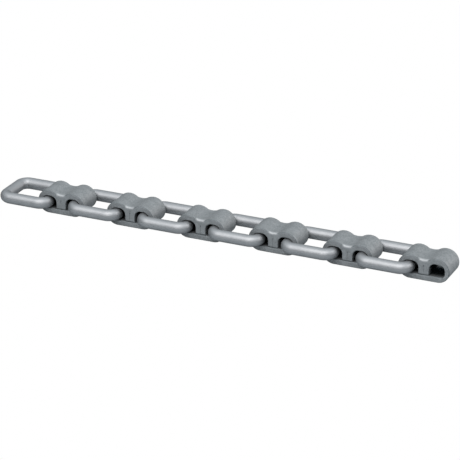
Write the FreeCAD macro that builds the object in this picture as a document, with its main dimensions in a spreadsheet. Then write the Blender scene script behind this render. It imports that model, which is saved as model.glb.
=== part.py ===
import FreeCAD, Part
import math
import os
import Sketcher
from FreeCAD import Vector

# Floor conveyor chain: closed round-bar links joined by blocks with two eyes.
# Each block is one flat steel strip, rolled into an eye at both ends.
# The two strip ends come down in the middle, stand on the base and are welded.
# The chain lies straight along X on its flat blocks, with Z up and the hinges along Y.
# The origin is under the middle of the chain, on the surface that it lies on.

UNITS = 6
NEAR = 0.001

# A sketch counts the points of an edge from the edge itself, and its two axes backwards from -1
POINTS = ("edge", "start", "end", "centre")
AXES = ("x", "y")
ORIGIN = ("x", "start")

# Driving dimensions in millimetres
SIZES = [
    ("bar_diameter", 12.0, "round bar of the links"),
    ("link_pitch", 48.3, "from end bar to end bar of one link"),
    ("bend_radius", 8.8, "middle of the bar at the corners of the link"),
    ("strip_width", 29.8, "flat strip of the block, along the hinge"),
    ("nose_radius", 12.2, "outside of the roll below the middle of the nose"),
    ("base_thickness", 5.9, "strip under the eyes"),
    ("nose_thickness", 4.9, "strip at the outside of the eye, thinned by rolling"),
    ("roof_thickness", 6.2, "strip over the eye"),
    ("leg_thickness", 5.4, "strip end that stands between the eyes"),
    ("eye_roof_radius", 6.3, "upper corners inside the eye"),
    ("eye_floor_radius", 4.0, "lower corner inside the eye, at the nose"),
    ("strip_edge_radius", 1.1, "rounded edges of the rolled strip"),
    ("seam", 0.2, "between the two strip ends, and between them and the base"),
    ("leg_trim", 1.3, "cut off each strip end, so that the two ends stand flush at the seam"),
    ("weld_width", 12.4, "from toe to toe of the weld between the eyes"),
    ("weld_dip", 1.0, "from the toes down to the lowest line of the weld"),
    ("weld_throat", 6.0, "from the lowest line of the weld down to its root"),
    ("weld_root_width", 3.2, "root of the weld, from leg to leg"),
    ("weld_end_radius", 2.4, "rounded end of the weld, ground flush with the edge of the strip"),
    ("side_clearance", 0.2, "between the bar and the nose side of the eye"),
    ("floor_clearance", 0.25, "between the bar and the floor of the eye"),
    ("roof_clearance", 0.65, "between the bar and the roof of the eye"),
    ("eye_play", 3.8, "how far the bar can run along the eye"),
    ("side_play", 1.15, "between a side bar of the link and the edge of the strip"),
]

# What follows from the driving dimensions
LINK_GAUGE = "(Sizes.strip_width + 2 * Sizes.side_play + Sizes.bar_diameter)"
EYE_WIDTH = "(Sizes.side_clearance + Sizes.bar_diameter + Sizes.eye_play)"
EYE_INSIDE = "(Sizes.seam / 2 + Sizes.leg_thickness)"
EYE_OUTSIDE = "(%s + %s)" % (EYE_INSIDE, EYE_WIDTH)
NOSE_REACH = "(%s + Sizes.nose_thickness)" % EYE_OUTSIDE
BAR_HEIGHT = "(Sizes.base_thickness + Sizes.floor_clearance + Sizes.bar_diameter / 2)"
EYE_ROOF = "(%s + Sizes.bar_diameter / 2 + Sizes.roof_clearance)" % BAR_HEIGHT
BLOCK_HEIGHT = "(%s + Sizes.roof_thickness)" % EYE_ROOF
EYE_TOP = "(%s - %s + Sizes.nose_radius)" % (NOSE_REACH, BLOCK_HEIGHT)
LEG_OUTER = "(Sizes.seam / 2 - Sizes.leg_trim)"
LEG_ROLL = "(%s - %s)" % (EYE_TOP, LEG_OUTER)
BAR_REACH = "(%s - Sizes.bar_diameter / 2 - Sizes.side_clearance)" % EYE_OUTSIDE
PERIOD = "(Sizes.link_pitch + 2 * %s)" % BAR_REACH
LENGTH = "(Sizes.bar_diameter / 2 + %d * %s - %s + %s)" % (UNITS, PERIOD, BAR_REACH, NOSE_REACH)

doc = FreeCAD.newDocument("FloorConveyorChain")
sheet = doc.addObject("Spreadsheet::Sheet", "Sizes")


def fillSheet():
    for row, (name, number, note) in enumerate(SIZES, start=1):
        sheet.set("A%d" % row, name)
        sheet.set("B%d" % row, str(number))
        sheet.set("C%d" % row, note)
        sheet.setAlias("B%d" % row, name)
    doc.recompute()


def value(expression):
    return float(sheet.evalExpression(expression))


def originPlane(body, role):
    for feature in body.Origin.OriginFeatures:
        if feature.Role == role:
            return feature
    raise ValueError("the body has no " + role)


def addBody(name):
    body = doc.addObject("PartDesign::Body", name)
    body.Label = name
    return body


def addSketch(body, name, role):
    sketch = body.newObject("Sketcher::SketchObject", body.Name + "_" + name)
    sketch.AttachmentSupport = [(originPlane(body, role), "")]
    sketch.MapMode = "FlatFace"
    return sketch


def line(x1, y1, x2, y2):
    return Part.LineSegment(Vector(x1, y1, 0), Vector(x2, y2, 0))


def arc(x, y, radius, start, end):
    circle = Part.Circle(Vector(x, y, 0), Vector(0, 0, 1), radius)
    return Part.ArcOfCircle(circle, math.radians(start), math.radians(end))


def count(element):
    if element in POINTS:
        return POINTS.index(element)
    if element in AXES:
        return -1 - AXES.index(element)
    return element


def relate(sketch, kind, *elements):
    return sketch.addConstraint(Sketcher.Constraint(kind, *[count(e) for e in elements]))


def dimension(sketch, kind, name, expression, *elements):
    index = relate(sketch, kind, *elements, value(expression))
    sketch.renameConstraint(index, name)
    sketch.setExpression("Constraints." + name, expression)


def addFeature(body, kind, name):
    return body.newObject("PartDesign::" + kind, body.Name + "_" + name)


def addPad(body, name, sketch, length):
    feature = addFeature(body, "Pad", name)
    feature.Profile = sketch
    feature.SideType = "Symmetric"
    feature.setExpression("Length", length)
    doc.recompute()
    return feature


def roundEdges(body, name, base, radius, chosen):
    edges = ["Edge%d" % (i + 1) for i, edge in enumerate(base.Shape.Edges) if chosen(edge)]
    feature = addFeature(body, "Fillet", name)
    feature.Base = (base, edges)
    feature.setExpression("Radius", radius)
    doc.recompute()
    return feature


def place(piece, along, height):
    piece.setExpression("Placement.Base.x", along)
    piece.setExpression("Placement.Base.z", height)


# Link: round bar bent to a closed rectangle and joined flush
def linkPath(body):
    sketch = addSketch(body, "path", "XY_Plane")
    end = value("Sizes.link_pitch / 2")
    side = value(LINK_GAUGE + " / 2")
    bend = value("Sizes.bend_radius")
    sketch.addGeometry([
        line(0, side, end - bend, side),
        arc(end - bend, side - bend, bend, 0, 90),
        line(end, side - bend, end, bend - side),
        arc(end - bend, bend - side, bend, 270, 360),
        line(end - bend, -side, bend - end, -side),
        arc(bend - end, bend - side, bend, 180, 270),
        line(-end, bend - side, -end, side - bend),
        arc(bend - end, side - bend, bend, 90, 180),
        line(bend - end, side, 0, side),
    ], False)
    for bar, corner in ((0, 1), (2, 3), (4, 5), (6, 7)):
        relate(sketch, "Tangent", bar, "end", corner, "end")
        relate(sketch, "Tangent", corner, "start", corner + 1, "start")
        relate(sketch, "Horizontal" if bar in (0, 4) else "Vertical", bar)
        if corner > 1:
            relate(sketch, "Equal", 1, corner)
    relate(sketch, "Horizontal", 8)
    relate(sketch, "Coincident", 8, "end", 0, "start")
    relate(sketch, "PointOnObject", 0, "start", "y")
    dimension(sketch, "Radius", "bend", "Sizes.bend_radius", 1)
    dimension(sketch, "DistanceX", "right_end", "Sizes.link_pitch / 2", *ORIGIN, 2, "start")
    dimension(sketch, "DistanceX", "left_end", "Sizes.link_pitch / 2", 6, "start", *ORIGIN)
    dimension(sketch, "DistanceY", "far_side", LINK_GAUGE + " / 2", *ORIGIN, 0, "start")
    dimension(sketch, "DistanceY", "near_side", LINK_GAUGE + " / 2", 4, "start", *ORIGIN)
    return sketch


def linkSection(body):
    sketch = addSketch(body, "section", "YZ_Plane")
    middle = Vector(value(LINK_GAUGE + " / 2"), 0, 0)
    bar = sketch.addGeometry(Part.Circle(middle, Vector(0, 0, 1), value("Sizes.bar_diameter / 2")), False)
    relate(sketch, "PointOnObject", bar, "centre", "x")
    dimension(sketch, "Diameter", "bar_size", "Sizes.bar_diameter", bar)
    dimension(sketch, "DistanceX", "side", LINK_GAUGE + " / 2", *ORIGIN, bar, "centre")
    return sketch


def addLink(number):
    body = addBody("link_%d" % number)
    path = linkPath(body)
    section = linkSection(body)
    bar = addFeature(body, "AdditivePipe", "bar")
    bar.Profile = section
    bar.Spine = path
    along = "Sizes.bar_diameter / 2 + Sizes.link_pitch / 2 + %d * %s - %s / 2"
    place(body, along % (number - 1, PERIOD, LENGTH), BAR_HEIGHT)
    doc.recompute()
    return body


# Block: one half of the rolled strip, mirrored, and the weld between the two ends
def stripOutline(body):
    sketch = addSketch(body, "outline", "XZ_Plane")
    top = value(BLOCK_HEIGHT)
    nose = value(NOSE_REACH)
    peak = value(EYE_TOP)
    low = value("Sizes.nose_radius")
    roll = value(LEG_ROLL)
    leg = value(LEG_OUTER)
    foot = value("Sizes.base_thickness + Sizes.seam")
    floor = value("Sizes.base_thickness")
    inside = value(EYE_INSIDE)
    outside = value(EYE_OUTSIDE)
    roof = value(EYE_ROOF)
    upper = value("Sizes.eye_roof_radius")
    lower = value("Sizes.eye_floor_radius")
    sketch.addGeometry([
        line(0, 0, nose - low, 0),
        arc(nose - low, low, low, 270, 360),
        arc(peak, low, top - low, 0, 90),
        arc(peak, top - roll, roll, 90, 180),
        line(leg, top - roll, leg, foot),
        line(leg, foot, inside, foot),
        line(inside, foot, inside, roof - upper),
        arc(inside + upper, roof - upper, upper, 90, 180),
        line(inside + upper, roof, outside - upper, roof),
        arc(outside - upper, roof - upper, upper, 0, 90),
        line(outside, roof - upper, outside, floor + lower),
        arc(outside - lower, floor + lower, lower, 270, 360),
        line(outside - lower, floor, 0, floor),
        line(0, floor, 0, 0),
    ], False)
    base, noseArc, eyeArc, legArc, legOuter, legFoot, legInner = range(7)
    roofInner, roofLine, roofOuter, noseInner, floorCorner, floorLine, middle = range(7, 14)
    for smooth in ((base, "end", noseArc, "start"), (noseArc, "end", eyeArc, "start"),
                   (eyeArc, "end", legArc, "start"), (legArc, "end", legOuter, "start"),
                   (legInner, "end", roofInner, "end"), (roofInner, "start", roofLine, "start"),
                   (roofLine, "end", roofOuter, "end"), (roofOuter, "start", noseInner, "start"),
                   (noseInner, "end", floorCorner, "end"), (floorCorner, "start", floorLine, "start")):
        relate(sketch, "Tangent", *smooth)
    for sharp in ((legOuter, "end", legFoot, "start"), (legFoot, "end", legInner, "start"),
                  (floorLine, "end", middle, "start"), (middle, "end", base, "start"),
                  (base, "start") + ORIGIN):
        relate(sketch, "Coincident", *sharp)
    for level in (base, legFoot, roofLine, floorLine):
        relate(sketch, "Horizontal", level)
    for upright in (legOuter, legInner, noseInner, middle):
        relate(sketch, "Vertical", upright)
    relate(sketch, "Horizontal", noseArc, "centre", noseArc, "end")
    relate(sketch, "Vertical", eyeArc, "centre", eyeArc, "end")
    relate(sketch, "Equal", roofInner, roofOuter)
    dimension(sketch, "Radius", "nose", "Sizes.nose_radius", noseArc)
    dimension(sketch, "Radius", "eye_roof", "Sizes.eye_roof_radius", roofInner)
    dimension(sketch, "Radius", "eye_floor", "Sizes.eye_floor_radius", floorCorner)
    dimension(sketch, "DistanceY", "height", BLOCK_HEIGHT, *ORIGIN, eyeArc, "end")
    dimension(sketch, "DistanceX", "past_seam", "-" + LEG_OUTER, legFoot, "start", *ORIGIN)
    dimension(sketch, "DistanceX", "inside", EYE_INSIDE, *ORIGIN, legFoot, "end")
    dimension(sketch, "DistanceX", "eye", EYE_WIDTH, legInner, "end", noseInner, "start")
    dimension(sketch, "DistanceX", "nose_wall", "Sizes.nose_thickness", noseInner, "start", noseArc, "end")
    dimension(sketch, "DistanceY", "base_wall", "Sizes.base_thickness", middle, "end", middle, "start")
    dimension(sketch, "DistanceY", "foot_seam", "Sizes.seam", middle, "start", legFoot, "start")
    dimension(sketch, "DistanceY", "roof_wall", "Sizes.roof_thickness", roofLine, "start", eyeArc, "end")
    return sketch


def trimOutline(body):
    sketch = addSketch(body, "trim", "XZ_Plane")
    low = value("Sizes.base_thickness + Sizes.seam / 2")
    high = value(BLOCK_HEIGHT + " + Sizes.leg_trim")
    seam = value("Sizes.seam / 2")
    past = value(LEG_OUTER + " - Sizes.leg_trim")
    sketch.addGeometry([
        line(past, low, seam, low),
        line(seam, low, seam, high),
        line(seam, high, past, high),
        line(past, high, past, low),
    ], False)
    bottom, right, top, left = range(4)
    for edge in (bottom, right, top, left):
        relate(sketch, "Coincident", edge, "end", (edge + 1) % 4, "start")
    relate(sketch, "Horizontal", bottom)
    relate(sketch, "Vertical", right)
    relate(sketch, "Horizontal", top)
    relate(sketch, "Vertical", left)
    dimension(sketch, "DistanceX", "half_seam", "Sizes.seam / 2", *ORIGIN, bottom, "end")
    dimension(sketch, "DistanceX", "width", "2 * Sizes.leg_trim", bottom, "start", bottom, "end")
    dimension(sketch, "DistanceY", "low", "Sizes.base_thickness + Sizes.seam / 2", *ORIGIN, bottom, "start")
    dimension(sketch, "DistanceY", "high", BLOCK_HEIGHT + " + Sizes.leg_trim", *ORIGIN, top, "start")
    return sketch


def addStrip(name):
    body = addBody(name)
    half = addPad(body, "half", stripOutline(body), "Sizes.strip_width")
    side = value("Sizes.strip_width / 2")

    def onStripEdge(edge):
        box = edge.BoundBox
        return box.YLength < NEAR and abs(abs(box.YMin) - side) < NEAR and box.XMax > NEAR

    roundEdges(body, "edges", half, "Sizes.strip_edge_radius", onStripEdge)
    trimmed = addFeature(body, "Pocket", "trimmed")
    trimmed.Profile = trimOutline(body)
    trimmed.Type = "ThroughAll"
    trimmed.Midplane = True
    doc.recompute()
    whole = addFeature(body, "Mirrored", "whole")
    whole.TransformMode = "Whole shape"
    whole.MirrorPlane = (originPlane(body, "YZ_Plane"), [""])
    body.Tip = whole
    doc.recompute()
    return body


def weldOutline(body):
    sketch = addSketch(body, "outline", "XZ_Plane")
    top = value(BLOCK_HEIGHT)
    roll = value(LEG_ROLL)
    peak = value(EYE_TOP)
    half = value("Sizes.weld_width / 2")
    dip = value("Sizes.weld_dip")
    rootHalf = value("Sizes.weld_root_width / 2")
    toe = top - roll + math.sqrt(roll ** 2 - (peak - half) ** 2)
    low = toe - dip
    root = low - value("Sizes.weld_throat")
    radius = (half ** 2 + dip ** 2) / (2 * dip)
    spread = math.degrees(math.asin(half / radius))
    sketch.addGeometry([
        arc(0, low + radius, radius, 270 - spread, 270 + spread),
        line(half, toe, rootHalf, root),
        line(rootHalf, root, -rootHalf, root),
        line(-rootHalf, root, -half, toe),
    ], False)
    face, right, bottom, left = range(4)
    leg = sketch.addGeometry(Part.Circle(Vector(peak, top - roll, 0), Vector(0, 0, 1), roll), True)
    lowest = sketch.addGeometry(Part.Point(Vector(0, low, 0)), True)
    relate(sketch, "Coincident", face, "end", right, "start")
    relate(sketch, "Coincident", right, "end", bottom, "start")
    relate(sketch, "Coincident", bottom, "end", left, "start")
    relate(sketch, "Coincident", left, "end", face, "start")
    relate(sketch, "Symmetric", face, "start", face, "end", "y")
    relate(sketch, "Symmetric", bottom, "start", bottom, "end", "y")
    relate(sketch, "PointOnObject", face, "end", leg)
    relate(sketch, "PointOnObject", lowest, "start", face)
    relate(sketch, "PointOnObject", lowest, "start", "y")
    dimension(sketch, "Radius", "leg_roll", LEG_ROLL, leg)
    dimension(sketch, "DistanceX", "leg_along", EYE_TOP, *ORIGIN, leg, "centre")
    legHeight = "%s - %s" % (BLOCK_HEIGHT, LEG_ROLL)
    dimension(sketch, "DistanceY", "leg_height", legHeight, *ORIGIN, leg, "centre")
    dimension(sketch, "DistanceX", "toes", "Sizes.weld_width", face, "start", face, "end")
    dimension(sketch, "DistanceY", "dip", "Sizes.weld_dip", lowest, "start", face, "end")
    dimension(sketch, "DistanceY", "throat", "Sizes.weld_throat", bottom, "start", lowest, "start")
    dimension(sketch, "DistanceX", "root_width", "Sizes.weld_root_width", bottom, "end", bottom, "start")
    return sketch


def addWeld(name):
    body = addBody(name)
    bead = addPad(body, "bead", weldOutline(body), "Sizes.strip_width")

    def onTopEnd(edge):
        return edge.BoundBox.YLength < NEAR and isinstance(edge.Curve, Part.Circle)

    roundEdges(body, "ends", bead, "Sizes.weld_end_radius", onTopEnd)
    return body


def addBlock(number):
    name = "block_%d" % number
    strip = addStrip(name + "_strip")
    weld = addWeld(name + "_weld")
    block = doc.addObject("Part::Fuse", name)
    block.Label = name
    block.Base = strip
    block.Tool = weld
    block.Refine = True
    along = "Sizes.bar_diameter / 2 + %d * %s - %s - %s / 2"
    place(block, along % (number, PERIOD, BAR_REACH, LENGTH), "0")
    doc.recompute()
    return block


def checkAll(pieces):
    for obj in doc.Objects:
        if "Invalid" in obj.State or "Error" in obj.State:
            raise RuntimeError("%s did not build: %s" % (obj.Name, obj.State))
    for piece in pieces:
        shape = piece.Shape
        if shape.isNull() or not shape.isValid() or len(shape.Solids) != 1:
            raise RuntimeError("%s is not one valid solid" % piece.Label)


fillSheet()
pieces = []
for number in range(1, UNITS + 1):
    pieces.append(addLink(number))
    pieces.append(addBlock(number))
doc.recompute()
checkAll(pieces)
os.makedirs("parts", exist_ok=True)
for piece in pieces:
    piece.Shape.exportStep("parts/%s.step" % piece.Label)
    box = piece.Shape.BoundBox
    print("%s  x %.2f to %.2f  z %.2f to %.2f  %.0f mm3" % (
        piece.Label, box.XMin, box.XMax, box.ZMin, box.ZMax, piece.Shape.Volume))
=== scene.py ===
import math

import bmesh
import bpy
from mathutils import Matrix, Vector


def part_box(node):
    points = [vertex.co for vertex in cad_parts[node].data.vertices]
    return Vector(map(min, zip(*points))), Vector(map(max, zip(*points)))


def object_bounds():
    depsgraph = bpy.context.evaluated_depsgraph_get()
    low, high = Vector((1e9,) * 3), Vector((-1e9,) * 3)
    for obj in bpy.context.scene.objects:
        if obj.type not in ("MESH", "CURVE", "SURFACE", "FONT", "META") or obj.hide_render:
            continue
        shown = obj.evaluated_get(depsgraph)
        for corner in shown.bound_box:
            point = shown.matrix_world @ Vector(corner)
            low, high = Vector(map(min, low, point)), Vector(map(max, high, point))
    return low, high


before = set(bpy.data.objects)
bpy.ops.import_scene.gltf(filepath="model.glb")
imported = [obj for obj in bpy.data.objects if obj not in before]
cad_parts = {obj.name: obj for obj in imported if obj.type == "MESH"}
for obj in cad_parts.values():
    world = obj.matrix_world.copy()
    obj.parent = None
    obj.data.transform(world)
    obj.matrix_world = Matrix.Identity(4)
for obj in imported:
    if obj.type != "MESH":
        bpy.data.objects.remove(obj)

mm = 0.001
hair = 0.04 * mm         # an edge that fades over this much looks sharp
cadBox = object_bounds()     # the solids, before anything is added
links = sorted(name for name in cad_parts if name.startswith("link"))
blocks = sorted(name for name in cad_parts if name.startswith("block"))
linkLow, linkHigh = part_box(links[0])
blockLow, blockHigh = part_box(blocks[0])
linkMiddle = (linkLow + linkHigh) / 2
blockMiddle = (blockLow + blockHigh) / 2
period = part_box(blocks[1])[0].x - blockLow.x     # one link and one block
bar = linkHigh.z - linkLow.z                     # diameter of the round bar


def linear(colour):
    # sRGB hex to the linear colour that a socket takes
    shades = [int(colour[i:i + 2], 16) / 255 for i in (1, 3, 5)]
    return [s / 12.92 if s <= 0.04045 else ((s + 0.055) / 1.055) ** 2.4 for s in shades] + [1]


def addNode(tree, kind, inputs, **settings):
    # an input is a plain value, a socket, or a node, which gives its first output;
    # Mix numbers its sockets: 0 is the share, 2 and 3 are numbers, 6 and 7 are colours
    node = tree.nodes.new("ShaderNode" + kind)
    for name, setting in settings.items():
        setattr(node, name, setting)
    for name, value in inputs.items():
        if isinstance(value, bpy.types.Node):
            value = value.outputs[0]
        if isinstance(value, bpy.types.NodeSocket):
            tree.links.new(value, node.inputs[name])
        else:
            node.inputs[name].default_value = value
    return node


def newMaterial(name):
    material = bpy.data.materials.new(name)
    material.use_nodes = True
    material.node_tree.nodes.clear()
    return material, material.node_tree


def fromMiddle(tree, part, middle):
    # how far a point lies from the middle of its own link or block, along the chain
    high = middle + period / 2
    low = middle - period / 2
    wrapped = addNode(tree, "Math", {0: part.outputs["X"], 1: high, 2: low}, operation="WRAP")
    return addNode(tree, "Math", {0: wrapped, 1: middle}, operation="SUBTRACT")


def region(tree, *limits):
    # 1 within all the limits; at each, a value fades in from the first figure to the second
    mask = 1
    for value, start, full in limits:
        edge = addNode(tree, "MapRange", {0: value, 1: start, 2: full}, interpolation_type="SMOOTHSTEP")
        mask = addNode(tree, "Math", {0: mask, 1: edge}, operation="MULTIPLY")
    return mask


# Drawn steel bar, bent cold and lightly oiled: a satin grey that takes one broad soft highlight
barSteel = {
    "colour": "#abaeb0",
    "haze": "#9fa2a5",          # dull film, in soft patches and along the drawing marks
    "contrast": (0.35, 0.65),   # of the film's noise, from haze to colour
    "patch": 16 * mm,
    "patchShare": 0.5,          # the rest of the film follows the marks
    "mark": 0.8 * mm,           # drawing marks lie 0.1 mm apart, drawn coarser to show
    "markLength": 40,           # times as long as wide
    "markDepth": 0.01 * mm,
    "roughness": 0.54,
    "roughnessSpread": 0.025,
    "edge": "#505050",          # a dull film takes the gleam off the outline
    "bend": 8.8 * mm,           # middle of the bar at the corners of a link
    "barEyeShade": "#2b2e31",        # painted shade, where an end bar turns in its eye
    "barEyeShadeSpan": (14.4 * mm, 10.4 * mm),      # from the middle of the chain: starts, and full
}


def makeBarSteel(size):
    material, tree = newMaterial("drawnSteelBar")
    spot = addNode(tree, "TexCoord", {}).outputs["Object"]
    part = addNode(tree, "SeparateXYZ", {0: spot})
    along = fromMiddle(tree, part, linkMiddle.x)
    height = addNode(tree, "Math", {0: part.outputs["Z"], 1: linkMiddle.z}, operation="SUBTRACT")
    place = addNode(tree, "CombineXYZ", {"X": along, "Y": part.outputs["Y"]})
    place = addNode(tree, "VectorMath", {0: place}, operation="ABSOLUTE")     # all four quarters are alike
    placePart = addNode(tree, "SeparateXYZ", {0: place})

    # distance across the bar from its middle line, which is a rectangle with round corners
    half = (linkHigh - linkLow) / 2
    straight = (half.x - bar / 2 - size["bend"], half.y - bar / 2 - size["bend"], 0)
    past = addNode(tree, "VectorMath", {0: place, 1: straight}, operation="SUBTRACT")
    pastPart = addNode(tree, "SeparateXYZ", {0: past})
    bent = addNode(tree, "VectorMath", {0: past, 1: (0, 0, 0)}, operation="MAXIMUM")
    corner = addNode(tree, "VectorMath", {0: bent}, operation="LENGTH").outputs["Value"]
    side = addNode(tree, "Math", {0: pastPart.outputs["X"], 1: pastPart.outputs["Y"]}, operation="MAXIMUM")
    side = addNode(tree, "Math", {0: side, 1: 0}, operation="MINIMUM")
    across = addNode(tree, "Math", {0: corner, 1: side}, operation="ADD")
    across = addNode(tree, "Math", {0: across, 1: size["bend"]}, operation="SUBTRACT")

    # the marks run along the bar, so their noise is stretched that way
    run = addNode(tree, "Math", {0: along, 1: part.outputs["Y"]}, operation="ADD")
    run = addNode(tree, "Math", {0: run, 1: size["markLength"]}, operation="DIVIDE")
    line = addNode(tree, "CombineXYZ", {"X": across, "Y": height, "Z": run})
    marks = addNode(tree, "TexNoise",
                    {"Vector": line, "Scale": 1 / size["mark"], "Detail": 3, "Roughness": 0.6})
    patches = addNode(tree, "TexNoise",
                      {"Vector": spot, "Scale": 1 / size["patch"], "Detail": 3, "Roughness": 0.55})
    film = addNode(tree, "Mix", {0: size["patchShare"], 2: marks, 3: patches})
    clean = addNode(tree, "MapRange", {0: film, 1: size["contrast"][0], 2: size["contrast"][1]})
    steel = addNode(tree, "Mix", {0: clean, 6: linear(size["haze"]), 7: linear(size["colour"])},
                    data_type="RGBA").outputs[2]
    rough = addNode(tree, "MapRange",
                    {0: clean, 3: size["roughness"] + size["roughnessSpread"],
                     4: size["roughness"] - size["roughnessSpread"]})

    # painted shade on the end bars in their eyes; the first link's outer end bar lies in none and stays
    # unshaded
    endBar = half.x - bar
    firstBar = linkLow.x + bar
    shadedInEye = region(
        tree,
        (placePart.outputs["Y"], *size["barEyeShadeSpan"]),
        (placePart.outputs["X"], endBar, endBar + hair),
        (part.outputs["X"], firstBar, firstBar + hair),
    )
    # painted shade: the end bars darken where they lie in the eyes
    tone = addNode(tree, "Mix", {0: shadedInEye, 6: steel, 7: linear(size["barEyeShade"])}, data_type="RGBA")
    relief = addNode(tree, "Bump", {"Strength": 1, "Distance": size["markDepth"], "Height": marks})
    shader = addNode(tree, "BsdfPrincipled",
                     {"Base Color": tone.outputs[2], "Metallic": 1, "Roughness": rough,
                      "Specular Tint": linear(size["edge"]), "Normal": relief})
    addNode(tree, "OutputMaterial", {"Surface": shader})
    return material


# Hot rolled strip, rolled to shape, welded and shot blasted: a matt grey with a fine grain.
# The eyes are painted darker the deeper in, as painted shade.
stripSteel = {
    "colour": "#aaaeb0",
    "shade": "#8f9496",
    "contrast": (0.38, 0.62),   # of the noise, from shade to colour
    "grain": 0.9 * mm,          # blasting leaves dimples of 0.3 mm, drawn coarser to show
    "streak": 0.35,             # and stretched along the hinges, where the rolls ran
    "grainDepth": 0.06 * mm,
    "patch": 7 * mm,
    "patchShare": 0.35,         # the rest of the tone follows the grain
    "roughness": 0.66,
    "roughnessSpread": 0.06,
    "edge": "#505050",          # a blasted face hardly gleams at its outline
    "rimShade": "#7c8285",           # painted shade on the strip's rounded edges, darker than its faces to dim their highlight
    "rimWidth": 1.1 * mm,
    "stripEyeShade": "#2a2f32",         # painted shade in the eyes
    "stripEyeShadeSpan": (15.4 * mm, 5.9 * mm),        # from the middle of the chain: starts, and full
    "eyeInside": 5.5 * mm,      # the eye's walls, from the middle of the block
    "eyeOutside": 21.5 * mm,
    "eyeFloor": 5.9 * mm,
    "eyeRoof": 18.8 * mm,
    "eyeWall": 1 * mm,          # how far the painted shade reaches past those walls
    "weldAndPaintedHighlight": "#a9adaf",          # the weld's ends are ground smooth and brighter; the brightening reaches down the front faces under the saddle as a painted highlight
    "weldRoughness": 0.6,
    "weldToe": (6.2 * mm, 3.0 * mm),        # from the middle of the block: starts, and full
    "weldRoot": (18.4 * mm, 20.4 * mm),     # up from the underside
    "weldGround": (11 * mm, 12.8 * mm),     # along the weld, from its middle
}


def makeStripSteel(size):
    material, tree = newMaterial("blastedStripSteel")
    spot = addNode(tree, "TexCoord", {}).outputs["Object"]
    part = addNode(tree, "SeparateXYZ", {0: spot})
    outwards = addNode(tree, "Math", {0: fromMiddle(tree, part, blockMiddle.x)}, operation="ABSOLUTE")
    sideways = addNode(tree, "Math", {0: part.outputs["Y"]}, operation="ABSOLUTE")
    height = addNode(tree, "Math", {0: part.outputs["Z"], 1: blockLow.z}, operation="SUBTRACT")

    # painted shade in an eye, darker deeper in; and round its mouth above the floor
    inside = size["eyeInside"] - size["eyeWall"]
    outside = size["eyeOutside"] + size["eyeWall"]
    above = size["eyeRoof"] + size["eyeWall"]
    under = size["eyeFloor"] - size["eyeWall"]
    aboveFloor = size["eyeFloor"] + size["eyeWall"]
    nearWall = (
        (outwards, inside - hair, inside),
        (outwards, outside + hair, outside),
        (height, above + hair, above),
    )
    shadedInEye = region(tree, *nearWall, (height, under - hair, under), (sideways, *size["stripEyeShadeSpan"]))
    atMouth = region(tree, *nearWall, (height, aboveFloor, aboveFloor + hair))

    # painted shade on the strip's rounded edges, but neither on its flat sides nor at a mouth
    side = blockHigh.y
    onShadedRim = region(
        tree,
        (sideways, side - size["rimWidth"], side - size["rimWidth"] / 2),
        (sideways, side - hair, side - 2 * hair),
        (atMouth, 1, 0),
    )

    # on the ground ends of the weld and the front faces just under them: brighter metal, and there partly
    # a painted highlight
    onWeldAndPaintedHighlight = region(
        tree,
        (outwards, *size["weldToe"]),
        (height, *size["weldRoot"]),
        (sideways, *size["weldGround"]),
    )

    drawn = addNode(tree, "Mapping", {"Vector": spot, "Scale": (1, size["streak"], 1)})
    grain = addNode(tree, "TexNoise",
                    {"Vector": drawn, "Scale": 1 / size["grain"], "Detail": 4, "Roughness": 0.7})
    patches = addNode(tree, "TexNoise",
                      {"Vector": spot, "Scale": 1 / size["patch"], "Detail": 3, "Roughness": 0.55})
    tone = addNode(tree, "Mix", {0: size["patchShare"], 2: grain, 3: patches})
    light = addNode(tree, "MapRange", {0: tone, 1: size["contrast"][0], 2: size["contrast"][1]})
    # the grain's tone, then painted shade on the rims and in the eyes, then the weld's brighter metal with
    # its painted highlight
    colour = linear(size["shade"])
    for mask, finish in ((light, "colour"), (onShadedRim, "rimShade"), (shadedInEye, "stripEyeShade"), (onWeldAndPaintedHighlight, "weldAndPaintedHighlight")):
        colour = addNode(tree, "Mix", {0: mask, 6: colour, 7: linear(size[finish])},
                         data_type="RGBA").outputs[2]
    rough = addNode(tree, "MapRange",
                    {0: light, 3: size["roughness"] + size["roughnessSpread"],
                     4: size["roughness"] - size["roughnessSpread"]})
    smooth = addNode(tree, "Mix", {0: onWeldAndPaintedHighlight, 2: rough, 3: size["weldRoughness"]})
    relief = addNode(tree, "Bump", {"Strength": 1, "Distance": size["grainDepth"], "Height": grain})
    shader = addNode(tree, "BsdfPrincipled",
                     {"Base Color": colour, "Metallic": 1, "Roughness": smooth,
                      "Specular Tint": linear(size["edge"]), "Normal": relief})
    addNode(tree, "OutputMaterial", {"Surface": shader})
    return material


def dress(names, material):
    for name in names:
        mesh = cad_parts[name].data
        mesh.materials.clear()
        mesh.materials.append(material)


dress(links, makeBarSteel(barSteel))
print("bar steel on", len(links), "links")
dress(blocks, makeStripSteel(stripSteel))
print("strip steel on", len(blocks), "blocks")

# Studio: a pale floor, a soft sky, a broad lamp in front and above, and a weaker one at the right.
# The floor throws its light back at the chain, but the camera sees plain white in its place, as
# in the photograph. It is clear from below, so that a chain that folds down past it is lit.
studio = {
    "floor": 14.0,              # metres square
    "floorRise": 0.02 * mm,     # just inside the blocks, so that their undersides see the sky below
    "floorColour": "#aeb3b6",
    "floorRoughness": 0.9,
    "backdrop": "#ffffff",
    "sky": "#eef4f8",
    "skyStrength": 1.06,
    "skyBright": 0.6,           # darker towards the horizon, as in a room: full from this height up
    "lampColour": "#fff8f6",
    "lamps": (
        # name, towards the lamp, metres away, metres across, watts
        ("front", (0, -0.6, 0.8), 3.2, 3.8, 84),
        ("right", (0.85, 0.3, 0.4), 3.6, 2.4, 50),
    ),
}


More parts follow.
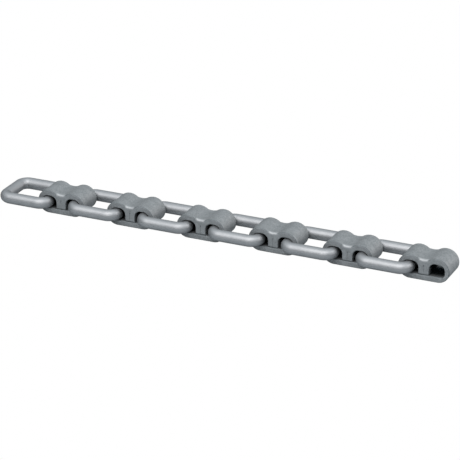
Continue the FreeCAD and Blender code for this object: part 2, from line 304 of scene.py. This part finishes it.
def makeFloor():
    form = bmesh.new()
    bmesh.ops.create_grid(form, x_segments=1, y_segments=1, size=studio["floor"] / 2)
    bmesh.ops.translate(form, vec=(0, 0, cadBox[0][2] + studio["floorRise"]), verts=form.verts)
    mesh = bpy.data.meshes.new("floor")
    form.to_mesh(mesh)
    form.free()
    floor = bpy.data.objects.new("floor", mesh)
    bpy.context.scene.collection.objects.link(floor)
    material, tree = newMaterial("paleFloor")
    pale = addNode(tree, "BsdfPrincipled",
                   {"Base Color": linear(studio["floorColour"]), "Roughness": studio["floorRoughness"]})
    clear = addNode(tree, "BsdfTransparent", {})
    below = addNode(tree, "NewGeometry", {}).outputs["Backfacing"]
    shader = addNode(tree, "MixShader", {0: below, 1: pale, 2: clear})
    addNode(tree, "OutputMaterial", {"Surface": shader})
    mesh.materials.append(material)
    floor.visible_camera = False


def makeLight():
    world = bpy.data.worlds.new("softSky")
    world.use_nodes = True
    tree = world.node_tree
    sky = tree.nodes["Background"]
    part = addNode(tree, "SeparateXYZ", {0: addNode(tree, "TexCoord", {}).outputs["Generated"]})
    height = addNode(tree, "Math", {0: part.outputs["Z"]}, operation="ABSOLUTE")
    glow = addNode(tree, "MapRange", {0: height, 2: studio["skyBright"], 4: studio["skyStrength"]},
                   interpolation_type="SMOOTHSTEP")
    seen = addNode(tree, "LightPath", {}).outputs["Is Camera Ray"]
    tint = addNode(tree, "Mix", {0: seen, 6: linear(studio["sky"]), 7: linear(studio["backdrop"])},
                   data_type="RGBA")
    strength = addNode(tree, "Math", {0: glow, 1: seen}, operation="MAXIMUM")
    tree.links.new(tint.outputs[2], sky.inputs["Color"])
    tree.links.new(strength.outputs[0], sky.inputs["Strength"])
    bpy.context.scene.world = world
    for name, towards, away, across, watts in studio["lamps"]:
        data = bpy.data.lights.new(name, "AREA")
        data.shape = "DISK"
        data.size = across
        data.energy = watts
        data.color = linear(studio["lampColour"])[:3]
        lamp = bpy.data.objects.new(name, data)
        bpy.context.scene.collection.objects.link(lamp)
        lamp.location = Vector(towards).normalized() * away
        lamp.rotation_euler = Vector(towards).to_track_quat("Z", "Y").to_euler()


# The photograph's view, worked out from the even steps of the chain across it
view = {
    "azimuth": 24.451,          # degrees
    "elevation": 23.134,
    "aim": (7.98 * mm, 0, 9.84 * mm),
    "distance": 2.3668,         # metres
    "lens": 185.13,             # millimetres, as the sensor's width is
    "sensor": 36,
}


def makeCamera():
    data = bpy.data.cameras.new("camera")
    data.sensor_width = view["sensor"]
    data.lens = view["lens"]
    camera = bpy.data.objects.new("camera", data)
    bpy.context.scene.collection.objects.link(camera)
    azimuth = math.radians(view["azimuth"])
    elevation = math.radians(view["elevation"])
    level = math.cos(elevation)
    back = Vector((math.sin(azimuth) * level, -math.cos(azimuth) * level, math.sin(elevation)))
    camera.location = Vector(view["aim"]) + back * view["distance"]
    camera.rotation_euler = (math.pi / 2 - elevation, 0, azimuth)
    bpy.context.scene.camera = camera


makeFloor()
makeLight()
makeCamera()
bpy.context.scene.view_settings.view_transform = "Standard"
print("floor, lamps and camera done")
